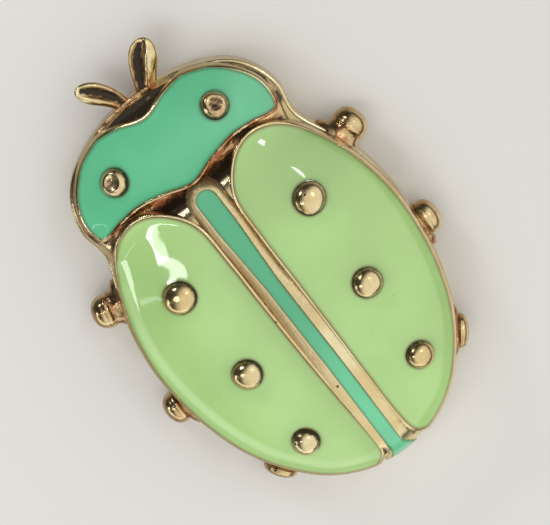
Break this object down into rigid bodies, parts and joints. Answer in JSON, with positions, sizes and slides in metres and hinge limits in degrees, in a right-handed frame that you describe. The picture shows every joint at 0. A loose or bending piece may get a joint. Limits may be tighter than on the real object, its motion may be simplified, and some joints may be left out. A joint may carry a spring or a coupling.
{
  "type": "insect brooch",
  "caption": "Beetle-shaped brooch: hollow gilt casting with enamelled wing cases, centre strip and head, round metal studs, button feet, short antennae and a pin bar behind.",
  "frame": {"origin": "middle of the overall box, at the height of the flat back rim that the brooch lies on", "axes": "+Y towards the head, +Z out of the back of the beetle, away from the pin, +X towards the right wing case"},
  "size_m": [0.029, 0.0416, 0.0097],
  "materials": {
    "gilt_metal": "polished gilt plating over a casting, browner in the recesses",
    "sea_green_enamel": "glossy opaque sea-green enamel",
    "apple_green_enamel": "glossy opaque apple-green enamel",
    "pin_metal": "plain gilt steel"
  },
  "bodies": {
    "root": {"casting": "gilt_metal", "head_enamel": "sea_green_enamel", "left_wing_enamel": "apple_green_enamel", "right_wing_enamel": "apple_green_enamel", "centre_strip_enamel": "sea_green_enamel", "pin_back": "pin_metal"}
  },
  "joints": []
}
